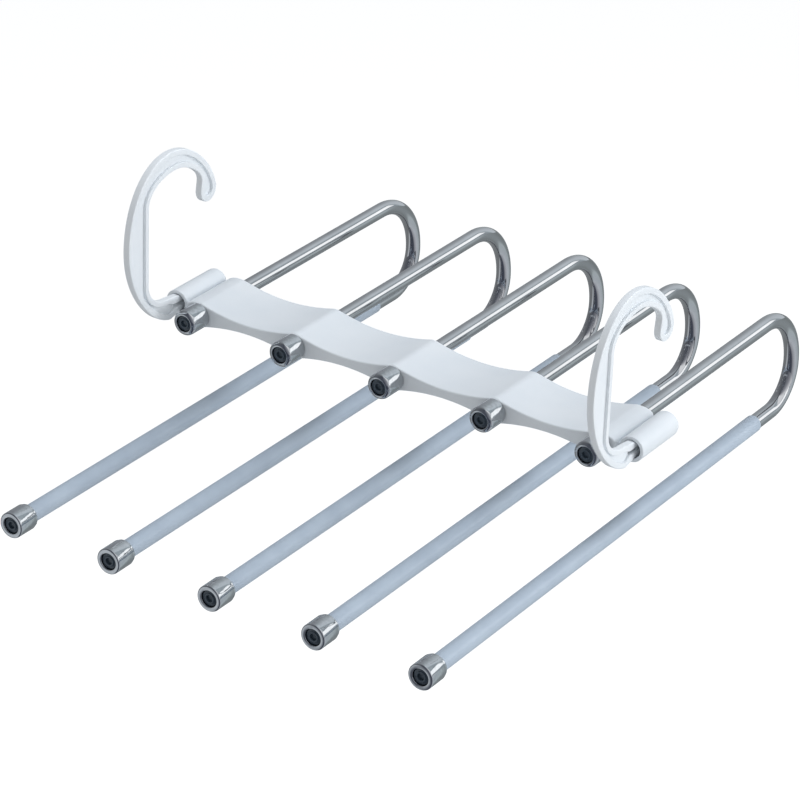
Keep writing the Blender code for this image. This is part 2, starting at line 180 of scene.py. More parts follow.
def lathe(profile, centre, sides=64, closed=True):
    """Points and faces of a profile of (y, radius) turned about the line along Y at centre.

    x = centre x + r cos a, z = centre z + r sin a, with a all the way round. A closed profile
    is a ring. An open one ends in flat faces.
    """
    profile = np.asarray(profile, float)
    a = np.arange(sides) * 2 * math.pi / sides
    x = centre[0] + profile[:, 1:] * np.cos(a)
    z = centre[1] + profile[:, 1:] * np.sin(a)
    y = np.broadcast_to(profile[:, :1], x.shape)
    count = len(profile)
    faces = grid_faces(count, sides, closed_rows=closed, closed_columns=True)
    if not closed:
        faces.append(list(range(sides)))
        faces.append(list(range((count - 1) * sides, count * sides))[::-1])
    return np.stack([x, y, z], -1), faces


def corner(centre, radius, start, end, steps=5):
    """Points of an arc in a profile, angles in degrees from the profile's first axis."""
    a = np.radians(np.linspace(start, end, steps + 1))
    return np.stack([centre[0] + radius * np.cos(a), centre[1] + radius * np.sin(a)], 1)


def half_height(x):
    """Half the bar's height at x: a parabola in each span, a soft ridge over each bore.

    In a span it is neck + rise (1 - d / half pitch)^2, where d is the distance to the nearest
    bore. Within RIDGE_SOFT of a bore it is crest - c d^2, which meets the span with its slope.
    Past the outer bores it is the crest less END_DROP times the cube of the share gone.
    """
    rise = RIDGE_HALF - NECK_HALF
    away = np.min(np.abs(x[:, None] - TIER_X), axis=1)
    scallop = NECK_HALF + rise * ((HALF_PITCH - away) / HALF_PITCH) ** 2
    slope = 2 * rise * (HALF_PITCH - RIDGE_SOFT) / HALF_PITCH ** 2
    crest = NECK_HALF + rise * ((HALF_PITCH - RIDGE_SOFT) / HALF_PITCH) ** 2
    crest += slope * RIDGE_SOFT / 2
    ridge = crest - slope * away ** 2 / (2 * RIDGE_SOFT)
    end_share = np.clip((np.abs(x) - TIER_X[-1]) / (BRIDGE_END - TIER_X[-1]), 0, 1)
    height = np.where(away < RIDGE_SOFT, ridge, scallop)
    return np.where(np.abs(x) > TIER_X[-1], crest - END_DROP * end_share ** 3, height)


def bar_surface():
    """The bar as a rounded rectangle carried along X, drawn in at each end like a quarter round.

    Each corner of the rectangle is centre + r (cos a, sin a), with a point FLAT_HOLD past either
    end of the arc so that the flats stay flat. At s along the end round, of radius r, the
    rectangle is drawn in by r - sqrt(r^2 - s^2), and the last one stands just short of r.
    """
    middle = np.linspace(END_ROUND - BRIDGE_END, BRIDGE_END - END_ROUND, BAR_ROWS)
    quarter = np.linspace(0, math.pi / 2, BAR_ARC_POINTS)
    past = END_ROUND * np.sin(np.append(quarter[1:-1], END_ROUND_STOP))
    drawn = END_ROUND - np.sqrt(END_ROUND ** 2 - past ** 2)
    x = np.concatenate([-(BRIDGE_END - END_ROUND + past[::-1]), middle,
                        BRIDGE_END - END_ROUND + past])
    inset = np.concatenate([drawn[::-1], np.zeros(len(middle)), drawn])
    half_z = half_height(x) - inset
    half_y = BRIDGE_HALF_DEPTH - inset
    turn = np.concatenate([[0], quarter, [math.pi / 2]])
    past_end = np.concatenate([[-1], np.zeros(BAR_ARC_POINTS), [1]]) * FLAT_HOLD
    y, z = [], []
    for k in range(4):
        a = turn + k * math.pi / 2
        side_y = 1 if k in (0, 3) else -1
        side_z = 1 if k in (0, 1) else -1
        y.append(side_y * (half_y[:, None] - BRIDGE_EDGE_R) + BRIDGE_EDGE_R * np.cos(a)
                 - past_end * np.sin(a))
        z.append(side_z * (half_z[:, None] - BRIDGE_EDGE_R) + BRIDGE_EDGE_R * np.sin(a)
                 + past_end * np.cos(a))
    y, z = np.concatenate(y, 1), np.concatenate(z, 1)
    points = np.stack([np.broadcast_to(x[:, None], y.shape), y + BRIDGE_Y, z + BORE_Z], -1)
    rows, columns = y.shape
    faces = grid_faces(rows, columns, closed_columns=True)
    faces.append(list(range(columns)))
    faces.append(list(range((rows - 1) * columns, rows * columns))[::-1])
    return points, faces


def cut_or_join(piece, others, operation):
    """Applies exact Booleans with other closed meshes, then deletes them."""
    for other in others:
        step = piece.modifiers.new(other.name, "BOOLEAN")
        step.operation = operation
        step.solver = "EXACT"
        step.object = other
    result = piece.evaluated_get(bpy.context.evaluated_depsgraph_get())
    mesh = bpy.data.meshes.new_from_object(result)
    piece.modifiers.clear()
    piece.data = mesh
    for other in others:
        bpy.data.objects.remove(other, do_unlink=True)


def make_bridge(mat):
    """Joins barrels and webs to the bar, then cuts the sockets, bores and counterbores."""
    bridge = add_piece("bridge_moulding", *bar_surface(), mat)
    front = BRIDGE_Y - BRIDGE_HALF_DEPTH
    rear = BRIDGE_Y + BRIDGE_HALF_DEPTH
    mouth = front + BARREL_SET_BACK
    back = rear + BARREL_PROUD
    body = np.concatenate([
        corner((mouth + BARREL_MOUTH_R, BARREL_R - BARREL_MOUTH_R), BARREL_MOUTH_R, 180, 90),
        corner((back - BARREL_REAR_R, BARREL_R - BARREL_REAR_R), BARREL_REAR_R, 90, 0, 8)])
    chamber = BRIDGE_Y + CHAMBER_REAR
    socket = np.concatenate([
        [(mouth - CUTTER_PAST, SOCKET_R + SOCKET_CHAMFER + CUTTER_PAST)],
        [(mouth + SOCKET_CHAMFER, SOCKET_R)],
        [(chamber - CHAMBER_LENGTH, SOCKET_R), (chamber - CHAMBER_LENGTH, CHAMBER_R)],
        [(chamber, CHAMBER_R)]])
    floor = rear - COUNTERBORE_DEPTH
    bore = [(front - CUTTER_PAST, BORE_R), (floor, BORE_R), (floor, COUNTERBORE_R),
            (rear - COUNTERBORE_CHAMFER, COUNTERBORE_R),
            (rear + CUTTER_PAST, COUNTERBORE_R + COUNTERBORE_CHAMFER + CUTTER_PAST)]
    joined, cut = [], []
    for side in (-1, 1):
        centre = (side * BARREL_X, BORE_Z + BARREL_RISE)
        barrel = lathe(body, centre, sides=96, closed=False)
        joined.append(add_piece("barrel", *barrel, None))
        inside = lathe(socket, centre, sides=96, closed=False)
        cut.append(add_piece("socket", *inside, None))
        near, far = side * (BRIDGE_END - WEB_OVERLAP), side * BARREL_X
        web = [(x, y, BORE_Z + z) for x in (near, far)
               for y, z in ((mouth + GAP, -WEB_HALF), (rear - GAP, -WEB_HALF),
                            (rear - GAP, WEB_HALF), (mouth + GAP, WEB_HALF))]
        faces = grid_faces(2, 4, closed_columns=True) + [[0, 1, 2, 3], [7, 6, 5, 4]]
        joined.append(add_piece("web", web, faces, None))
    for x in TIER_X:
        hole = lathe(bore, (x, BORE_Z), sides=72, closed=False)
        cut.append(add_piece("bore", *hole, None))
    cut_or_join(bridge, joined, "UNION")
    cut_or_join(bridge, cut, "DIFFERENCE")
    bridge.data.shade_smooth()
    bridge.data.set_sharp_from_angle(angle=math.radians(BRIDGE_SHARP_ANGLE))
    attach(bridge, "bridge")
    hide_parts("bridge")


make_bridge(abs_material("moulded white ABS", "#E4E9ED", "#DFE5EA", 0.40))

# A push-on retaining ring grips each tube in its counterbore behind the bridge. It is stamped
# from thin spring steel, with six teeth on its inner edge that bite into the tube. The teeth are
# bent back a little, so the ring slides on but not off.
RING_OUTER_R = 5.12 * MM
RING_INNER_R = 4.28 * MM
RING_THICKNESS = 0.5 * MM
RING_CHAMFER = 0.08 * MM
RING_SIDES = 144
RING_TEETH = 6
TOOTH_DEPTH = 0.24 * MM
TOOTH_ROOT = 0.4 * MM
TOOTH_BEND = 0.35 * MM
TOOTH_SQUARENESS = 4
RING_SHARP_ANGLE = 50


def make_ring_material():
    """Spring steel, blued grey by its heat treatment, with the fine marks of its rolling.

    The marks are some 0.03 mm apart on the real one and are drawn at 0.25 mm so that they show.
    """
    mat, tree, place = blank_material("tempered spring steel")
    stretched = add(tree, "ShaderNodeMapping", inputs={
        "Vector": place, "Scale": (1 / (0.25 * MM), 1 / (0.25 * MM), 1 / (4 * MM))})
    rolled = add(tree, "ShaderNodeTexNoise", inputs={
        "Vector": stretched.outputs["Vector"], "Scale": 1.0, "Detail": 3.0})
    tone = add(tree, "ShaderNodeValToRGB", inputs={"Fac": rolled.outputs["Fac"]},
               stops=[(0.3, linear("#85868A")), (0.7, linear("#A3A4A6"))])
    gloss = add(tree, "ShaderNodeMapRange", inputs={
        "Value": rolled.outputs["Fac"], "To Min": 0.28, "To Max": 0.45})
    marks = add(tree, "ShaderNodeBump", inputs={
        "Height": rolled.outputs["Fac"], "Strength": 0.3, "Distance": 0.02 * MM})
    finish_material(tree, {
        "Base Color": tone.outputs["Color"], "Metallic": 1.0,
        "Roughness": gloss.outputs["Result"], "Normal": marks.outputs["Normal"]})
    return mat


def ring_surface(x):
    """A flat ring whose inner edge is a wave: r = inner + depth (1 - tooth) round the angle.

    tooth is a cosine of six turns, squared off by tanh, and the inner edge lies back by its
    share of the bend. The outline runs from that edge outwards, round the rim and back.
    """
    a = np.arange(RING_SIDES) * 2 * math.pi / RING_SIDES
    tooth = 0.5 + 0.5 * np.tanh(TOOTH_SQUARENESS * np.cos(RING_TEETH * a))
    inner = RING_INNER_R + TOOTH_DEPTH * (1 - tooth)
    front = BRIDGE_Y + BRIDGE_HALF_DEPTH - COUNTERBORE_DEPTH + GAP
    back = front + RING_THICKNESS
    bent = TOOTH_BEND * tooth
    root, rim = RING_INNER_R + TOOTH_ROOT, RING_OUTER_R - RING_CHAMFER
    outline = [(inner, front + bent), (root, front), (rim, front),
               (RING_OUTER_R, front + RING_CHAMFER), (RING_OUTER_R, back - RING_CHAMFER),
               (rim, back), (root, back), (inner, back + bent)]
    points = np.stack([np.stack([x + r * np.cos(a), y + 0 * a, BORE_Z + r * np.sin(a)], -1)
                       for r, y in outline])
    return points, grid_faces(len(outline), RING_SIDES, closed_rows=True, closed_columns=True)


spring_steel = make_ring_material()
for tier, x in enumerate(TIER_X, 1):
    ring = add_piece(f"retaining_ring_{tier}_stamped", *ring_surface(x), spring_steel,
                     sharp=RING_SHARP_ANGLE)
    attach(ring, f"hanger_{tier}")
    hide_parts(f"retaining_ring_{tier}")

# Each tier is a length of 8 mm stainless tube, bent lying on its side to a U. The bender leaves
# a wide upper bend and a tighter lower one. The tube is polished bright along its length, which
# leaves faint lines that follow it round the bend.
TUBE_R = 3.95 * MM
TUBE_WALL = 0.8 * MM
LEG_GAP = 54 * MM
UPPER_BEND_R = 33.5 * MM
LOWER_BEND_R = LEG_GAP - UPPER_BEND_R
UPPER_LEG_REAR = 164.26 * MM
LOWER_LEG_REAR = UPPER_LEG_REAR + UPPER_BEND_R - LOWER_BEND_R
BRIDGE_CAP_FRONT = -12 * MM
LEG_CAP_FRONT = -148.6 * MM
TUBE_SET_BACK = 2.9 * MM
UPPER_LEG_RINGS = 24
BEND_RINGS = 37
LOWER_LEG_RINGS = 40


def make_tube_material():
    """Polished stainless steel: a bright grey metal with fine lines along the tube.

    Real polishing lines are a few hundredths of a millimetre apart. They are drawn 0.3 mm
    apart, faintly, and a slower change in tone shows where the buffing wheel pressed.
    """
    mat, tree, _ = blank_material("polished stainless steel")
    along = add(tree, "ShaderNodeAttribute", {"attribute_name": "along_tube"})
    drawn = add(tree, "ShaderNodeMapping", inputs={
        "Vector": along.outputs["Vector"],
        "Scale": (1 / (60 * MM), 1 / (0.3 * MM), 1 / (0.3 * MM))})
    lines = add(tree, "ShaderNodeTexNoise", inputs={
        "Vector": drawn.outputs["Vector"], "Scale": 1.0, "Detail": 3.0, "Roughness": 0.6})
    buffed = add(tree, "ShaderNodeTexNoise", inputs={
        "Vector": along.outputs["Vector"], "Scale": 1 / (9 * MM), "Detail": 2.0})
    tone = add(tree, "ShaderNodeValToRGB", inputs={"Fac": buffed.outputs["Fac"]},
               stops=[(0.3, linear("#C0C1C3")), (0.75, linear("#CACBCD"))])
    gloss = add(tree, "ShaderNodeMapRange", inputs={
        "Value": lines.outputs["Fac"], "From Min": 0.3, "From Max": 0.7,
        "To Min": 0.06, "To Max": 0.11})
    scored = add(tree, "ShaderNodeBump", inputs={
        "Height": lines.outputs["Fac"], "Strength": 0.35, "Distance": 0.008 * MM})
    finish_material(tree, {
        "Base Color": tone.outputs["Color"], "Metallic": 1.0,
        "Roughness": gloss.outputs["Result"], "Normal": scored.outputs["Normal"]})
    return mat


def tube_line():
    """The tube's centre line in the YZ plane: (y, z, direction, length so far) at each ring.

    Upper leg, a quarter circle of the wide radius, a quarter of the tight one, lower leg.
    """
    upper_front = BRIDGE_CAP_FRONT + TUBE_SET_BACK
    lower_front = LEG_CAP_FRONT + TUBE_SET_BACK
    quarter = np.linspace(0, math.pi / 2, BEND_RINGS)
    first = np.linspace(upper_front, UPPER_LEG_REAR, UPPER_LEG_RINGS)[:-1]
    last = np.linspace(LOWER_LEG_REAR, lower_front, LOWER_LEG_RINGS)[1:]
    y = np.concatenate([first, UPPER_LEG_REAR + UPPER_BEND_R * np.sin(quarter),
                        LOWER_LEG_REAR + LOWER_BEND_R * np.cos(quarter[1:]), last])
    z = np.concatenate([0 * first, -UPPER_BEND_R + UPPER_BEND_R * np.cos(quarter),
                        -UPPER_BEND_R - LOWER_BEND_R * np.sin(quarter[1:]), 0 * last - LEG_GAP])
    way = np.concatenate([0 * first, -quarter, -math.pi / 2 - quarter[1:], 0 * last - math.pi])
    run = np.concatenate([[0], np.cumsum(np.hypot(np.diff(y), np.diff(z)))])
    return y, z, way, run


def swept(x, line, radius, sides=48):
    """Rings of a radius round a centre line, square to it. Returns points and along_tube.

    A ring's points are centre + r (cos a) X + r (sin a) N, where N is the line's normal in the
    YZ plane. along_tube is (length so far, r cos a, r sin a), which runs on round the bend.
    """
    y, z, way, run = (v[:, None] for v in line)
    a = (np.arange(sides) * 2 * math.pi / sides)[None, :]
    across, out = radius * np.cos(a), radius * np.sin(a)
    points = np.stack(np.broadcast_arrays(
        x + across, y - out * np.sin(way), z + out * np.cos(way) + BORE_Z), -1)
    return points, np.stack(np.broadcast_arrays(run, across, out), -1)


def tube_piece(name, x, line, outer, inner, mat):
    """A tube with a wall: its outer rings, then its inner rings back, joined at both ends.

    The mesh also carries along_tube, which the lines in its material follow.
    """
    skins = [swept(x, line, outer), swept(x, [v[::-1] for v in line], inner)]
    points = np.concatenate([points for points, _ in skins])
    along = np.concatenate([along for _, along in skins])
    rows, sides = points.shape[:2]
    faces = grid_faces(rows, sides, closed_rows=True, closed_columns=True)
    piece = add_piece(name, points, faces, mat)
    attribute = piece.data.attributes.new("along_tube", "FLOAT_VECTOR", "POINT")
    attribute.data.foreach_set("vector", along.astype(np.float32).ravel())
    return piece


stainless = make_tube_material()
for tier, x in enumerate(TIER_X, 1):
    tube = tube_piece(f"tube_{tier}_polished", x, tube_line(), TUBE_R, TUBE_R - TUBE_WALL,
                      stainless)
    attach(tube, f"hanger_{tier}")
    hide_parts(f"tube_{tier}")

# A sleeve of soft pale blue PVC is pulled over each lower leg, so that cloth doesn't slip off.
# It is extruded, which leaves faint lines along it, and cut square behind, where its edge shows.
# Its skin is matt but takes a soft light along its length.
SLEEVE_R = 4.55 * MM
SLEEVE_INNER_R = 4.25 * MM
SLEEVE_REAR = 160.4 * MM
SLEEVE_EDGE_R = 0.12 * MM
CAP_LENGTH = 12.8 * MM


def make_sleeve_material():
    """Plasticised PVC, extruded: even colour, broad soft shine, lines 0.6 mm apart along it.

    The lines are finer on the real one and are drawn this far apart so that they show.
    """
    mat, tree, place = blank_material("extruded soft PVC")
    stretched = add(tree, "ShaderNodeMapping", inputs={
        "Vector": place, "Scale": (1 / (0.6 * MM), 1 / (45 * MM), 1 / (0.6 * MM))})
    lines = add(tree, "ShaderNodeTexNoise", inputs={
        "Vector": stretched.outputs["Vector"], "Scale": 1.0, "Detail": 2.0})
    clouds = add(tree, "ShaderNodeTexNoise", inputs={
        "Vector": place, "Scale": 1 / (18 * MM), "Detail": 3.0})
    tone = add(tree, "ShaderNodeValToRGB", inputs={"Fac": clouds.outputs["Fac"]},
               stops=[(0.3, linear("#A9B6C4")), (0.7, linear("#B2BFCC"))])
    gloss = add(tree, "ShaderNodeMapRange", inputs={
        "Value": lines.outputs["Fac"], "To Min": 0.26, "To Max": 0.38})
    drawn = add(tree, "ShaderNodeBump", inputs={
        "Height": lines.outputs["Fac"], "Strength": 0.3, "Distance": 0.03 * MM})
    finish_material(tree, {
        "Base Color": tone.outputs["Color"], "Roughness": gloss.outputs["Result"],
        "IOR": 1.52, "Normal": drawn.outputs["Normal"]})
    return mat


def sleeve_profile():
    """The sleeve's wall in half section, with its two outer edges just rounded.

    Points between the ends, at even shares of its length, keep its faces from being slivers.
    """
    front = LEG_CAP_FRONT + CAP_LENGTH + GAP
    length = SLEEVE_REAR - front
    edge = SLEEVE_EDGE_R
    outer_run = [(front + length * share, SLEEVE_R) for share in np.linspace(0.02, 0.98, 25)]
    inner_run = [(front + length * share, SLEEVE_INNER_R) for share in np.linspace(1, 0, 12)]
    return np.concatenate([
        corner((front + edge, SLEEVE_R - edge), edge, 180, 90, 3), outer_run,
        corner((SLEEVE_REAR - edge, SLEEVE_R - edge), edge, 90, 0, 3), inner_run])


soft_pvc = make_sleeve_material()
for tier, x in enumerate(TIER_X, 1):
    shape = lathe(sleeve_profile(), (x, BORE_Z - LEG_GAP), sides=56)
    sleeve = add_piece(f"sleeve_{tier}_extruded", *shape, soft_pvc)
    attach(sleeve, f"hanger_{tier}")
    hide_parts(f"sleeve_{tier}")

# Chromed brass collars are pressed on both ends of each tube. Those at the bridge have a well
# rounded nose and sit against its front face. Those on the lower legs have a flat face with a
# small edge, and a stepped rear end that covers the sleeve's cut.
CAP_R = 6.6 * MM
CAP_BORE_R = 4.25 * MM
NOSE_R = 2.1 * MM
LIP_R = 0.35 * MM
FACE_EDGE_R = 0.7 * MM
REAR_EDGE_R = 0.4 * MM
BAND_LENGTH = 1.6 * MM
BAND_STEP = 0.45 * MM
STEP_EDGE_R = 0.2 * MM
BAND_FILLET = 0.1 * MM


def make_chrome_material():
    """Chrome over brass: near mirror, with turning marks under the plating and light wear.

    Turning marks are about 0.1 mm apart. They are drawn at 0.4 mm, and the ripple of the plating
    at 1.6 mm, which breaks the reflections up a little.
    """
    mat, tree, place = blank_material("chrome plated brass")
    ringed = add(tree, "ShaderNodeMapping", inputs={
        "Vector": place, "Scale": (1 / (6 * MM), 1 / (0.4 * MM), 1 / (6 * MM))})
    marks = add(tree, "ShaderNodeTexNoise", inputs={
        "Vector": ringed.outputs["Vector"], "Scale": 1.0, "Detail": 2.0})
    ripple = add(tree, "ShaderNodeTexNoise", inputs={
        "Vector": place, "Scale": 1 / (1.6 * MM), "Detail": 2.0, "Roughness": 0.45})
    wear = add(tree, "ShaderNodeMapRange", inputs={
        "Value": ripple.outputs["Fac"], "From Min": 0.3, "From Max": 0.75,
        "To Min": 0.05, "To Max": 0.12})
    turned = add(tree, "ShaderNodeBump", inputs={
        "Height": marks.outputs["Fac"], "Strength": 0.25, "Distance": 0.01 * MM})
    plated = add(tree, "ShaderNodeBump", inputs={
        "Height": ripple.outputs["Fac"], "Strength": 0.5, "Distance": 0.03 * MM,
        "Normal": turned.outputs["Normal"]})
    tone = add(tree, "ShaderNodeValToRGB", inputs={"Fac": ripple.outputs["Fac"]},
               stops=[(0.3, linear("#BBBEC1")), (0.7, linear("#C8CBCE"))])
    finish_material(tree, {
        "Base Color": tone.outputs["Color"], "Metallic": 1.0,
        "Roughness": wear.outputs["Result"], "Normal": plated.outputs["Normal"]})
    return mat


def bridge_cap_profile(front):
    """A collar in half section: inner lip, well rounded nose, straight side, small rear edge."""
    rear = front + CAP_LENGTH
    return np.concatenate([
        [(rear, CAP_BORE_R), (front + LIP_R, CAP_BORE_R)],
        corner((front + LIP_R, CAP_BORE_R + LIP_R), LIP_R, 270, 180, 4)[1:],
        corner((front + NOSE_R, CAP_R - NOSE_R), NOSE_R, 180, 90, 12),
        corner((rear - REAR_EDGE_R, CAP_R - REAR_EDGE_R), REAR_EDGE_R, 90, 0, 4)])


def leg_cap_profile(front):
    """A collar in half section: inner lip, flat face, side, and a stepped band behind."""
    rear = front + CAP_LENGTH
    step = rear - BAND_LENGTH
    neck = CAP_R - BAND_STEP
    return np.concatenate([
        [(rear, CAP_BORE_R), (front + LIP_R, CAP_BORE_R)],
        corner((front + LIP_R, CAP_BORE_R + LIP_R), LIP_R, 270, 180, 4)[1:],
        corner((front + FACE_EDGE_R, CAP_R - FACE_EDGE_R), FACE_EDGE_R, 180, 90, 6),
        corner((step - STEP_EDGE_R, CAP_R - STEP_EDGE_R), STEP_EDGE_R, 90, 0, 3),
        [(step, neck + BAND_FILLET), (step + BAND_FILLET, neck)],
        corner((rear - REAR_EDGE_R, neck - REAR_EDGE_R), REAR_EDGE_R, 90, 0, 4)])


chrome = make_chrome_material()
for tier, x in enumerate(TIER_X, 1):
    for kind, profile, z in (
            ("bridge_cap", bridge_cap_profile(BRIDGE_CAP_FRONT), BORE_Z),
            ("leg_cap", leg_cap_profile(LEG_CAP_FRONT), BORE_Z - LEG_GAP)):
        cap = add_piece(f"{kind}_{tier}_chromed", *lathe(profile, (x, z), sides=96), chrome)
        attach(cap, f"hanger_{tier}")
        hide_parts(f"{kind}_{tier}")

# A dark plug closes each tube inside its collar. It is moulded in slate nylon with a raised ring
# round a blind hole, where its sprue was, and a stem that grips inside the tube.
PLUG_SUNK = 0.9 * MM
PLUG_DISC = 1.7 * MM
PLUG_DISC_R = 3.95 * MM
PLUG_STEM = 4.5 * MM
PLUG_STEM_R = 2.85 * MM
PLUG_RING_R = 2.7 * MM
PLUG_HOLE_R = 1.75 * MM
PLUG_RING_HEIGHT = 0.4 * MM
PLUG_HOLE_DEPTH = 0.8 * MM
PLUG_EDGE_R = 0.18 * MM
PLUG_RING_FOOT = 0.04 * MM
PLUG_POLE_R = 0.02 * MM


def make_plug_material():
    """Slate grey nylon as moulded: dark, with a blue cast and a smooth, slightly uneven shine.

    The shine changes in patches of 0.9 mm, as the plug's skin cooled against the mould.
    """
    mat, tree, place = blank_material("moulded slate nylon")
    cloud = add(tree, "ShaderNodeTexNoise", inputs={
        "Vector": place, "Scale": 1 / (0.9 * MM), "Detail": 3.0})
    tone = add(tree, "ShaderNodeValToRGB", inputs={"Fac": cloud.outputs["Fac"]},
               stops=[(0.3, linear("#2D3843")), (0.7, linear("#3E4B57"))])
    gloss = add(tree, "ShaderNodeMapRange", inputs={
        "Value": cloud.outputs["Fac"], "To Min": 0.16, "To Max": 0.30})
    skin = add(tree, "ShaderNodeBump", inputs={
        "Height": cloud.outputs["Fac"], "Strength": 0.3, "Distance": 0.02 * MM})
    finish_material(tree, {
        "Base Color": tone.outputs["Color"], "Roughness": gloss.outputs["Result"],
        "IOR": 1.53, "Normal": skin.outputs["Normal"]})
    return mat


def plug_profile(front):
    """A plug in half section: blind hole, rounded raised ring, sunk face, disc and stem.

    It starts and ends at a very small radius, which the end faces close.
    """
    face = front + PLUG_SUNK
    back = face + PLUG_DISC
    top = face - PLUG_RING_HEIGHT
    edge = PLUG_EDGE_R
    return np.concatenate([
        [(face + PLUG_HOLE_DEPTH, PLUG_POLE_R), (face + PLUG_HOLE_DEPTH, PLUG_HOLE_R)],
        corner((top + edge, PLUG_HOLE_R + edge), edge, 270, 180, 4),
        corner((top + edge, PLUG_RING_R - edge), edge, 180, 90, 4),
        [(face - PLUG_RING_FOOT / 2, PLUG_RING_R), (face, PLUG_RING_R + PLUG_RING_FOOT)],
        corner((face + edge, PLUG_DISC_R - edge), edge, 180, 90, 3),
        [(back, PLUG_DISC_R), (back, PLUG_STEM_R)],
        [(back + PLUG_STEM, PLUG_STEM_R), (back + PLUG_STEM, PLUG_POLE_R)]])


slate_nylon = make_plug_material()
for tier, x in enumerate(TIER_X, 1):
    for kind, front, z in (("bridge_plug", BRIDGE_CAP_FRONT, BORE_Z),
                           ("leg_plug", LEG_CAP_FRONT, BORE_Z - LEG_GAP)):
        shape = lathe(plug_profile(front), (x, z), sides=64, closed=False)
        plug = add_piece(f"{kind}_{tier}_moulded", *shape, slate_nylon)
        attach(plug, f"hanger_{tier}")
        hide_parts(f"{kind}_{tier}")

# The hooks are mouldings in a glossier white ABS: a flat C whose two rims, along the outer curve
# and along the throat, stand proud of a thinner web on both sides. At the foot the rims part and
# run on as the two prongs of a fork, which snaps into the barrel so that the hook can swivel.
HOOK_THICKNESS = 3.8 * MM
HOOK_EDGE_R = 0.6 * MM
CHANNEL_EDGE_R = 0.25 * MM
PANEL_DEPTH = 1.45 * MM
PANEL_OVERLAP = 0.8 * MM
WEB_EDGE_R = 0.2 * MM
OUTER_RIM = 3 * MM
INNER_RIM = 2.8 * MM
CROWN_THICKNESS = 10.7 * MM
SPINE_WIDTH = 16.3 * MM
THROAT_HALF_WIDTH = 21.8 * MM
THROAT_RISE = 13.3 * MM
HEEL_WIDTH = 16.2 * MM
HEEL_LIP = 1.8 * MM
BACK_OFFSET = 4 * MM
NOSE_DROP = 36.5 * MM
KEEL_OFFSET = 1.4 * MM
KEEL_LIP = 2.7 * MM
BACK_HEIGHT_SHARE = 0.4715
HEEL_HEIGHT_SHARE = 0.139
NOSE_FLAT_SHARE = 0.032
BACK_FLAT_SHARE = -0.012
KEEL_FLAT_SHARE = 0.03
THROAT_FLAT_SHARE = 0.07
KEEL_END = 262
TIP_ANGLE = 12
HOOK_TIP_R = 6.5 * MM
PANEL_TIP_R = 3.2 * MM
PIN_Z = BORE_Z + BARREL_RISE
PIN_HALF = 4 * MM
PIN_SHOULDER = 0.7 * MM
PIN_SLOT_HALF = 1 * MM
PIN_SLOT_LENGTH = 3.5 * MM
PIN_BARB_STEP = 0.8 * MM
PIN_BARB_LENGTH = 4.3 * MM
PIN_NOSE = 1.5 * MM
LOOP_SPACING = 0.35 * MM
LOOP_SOFTNESS = 0.4 * MM
LOOP_REACH = 8
HOOK_SHARP_ANGLE = 40


def curve(centre, width, height, start, end, steps=48, flat_share=0.0):
    """Points centre + s (width cos a, height sin a), for angles a in degrees.

    s is 1 - flat_share sin^2(2a), which draws the ellipse in most at 45 degrees.
    """
    a = np.radians(np.linspace(start, end, steps + 1))
    scale = 1 - flat_share * np.sin(2 * a) ** 2
    return np.stack([centre[0] + scale * width * np.cos(a),
                     centre[1] + scale * height * np.sin(a)], 1)


def beside(line, distance):
    """An open line of points moved to its own left by a distance."""
    step = np.gradient(line, axis=0)
    step /= np.hypot(step[:, 0], step[:, 1])[:, None]
    return line + distance * np.stack([-step[:, 1], step[:, 0]], 1)


def rounded_loop(points):
    """A closed line of (y, z, edge radius) spaced evenly, then softened.

    Each point is the bell-weighted mean of its neighbours along the line.
    """
    closed = np.vstack([points, points[:1]])
    run = np.concatenate([[0], np.cumsum(np.hypot(*np.diff(closed[:, :2], axis=0).T))])
    count = int(round(run[-1] / LOOP_SPACING))
    at = np.arange(count) * run[-1] / count
    even = np.stack([np.interp(at, run, column) for column in closed.T], 1)
    reach = np.arange(-LOOP_REACH, LOOP_REACH + 1)
    bell = np.exp(-0.5 * (reach * LOOP_SPACING / LOOP_SOFTNESS) ** 2)
    near = even[(np.arange(count)[:, None] + reach) % count]
    return (near * bell[:, None] / bell.sum()).sum(1)


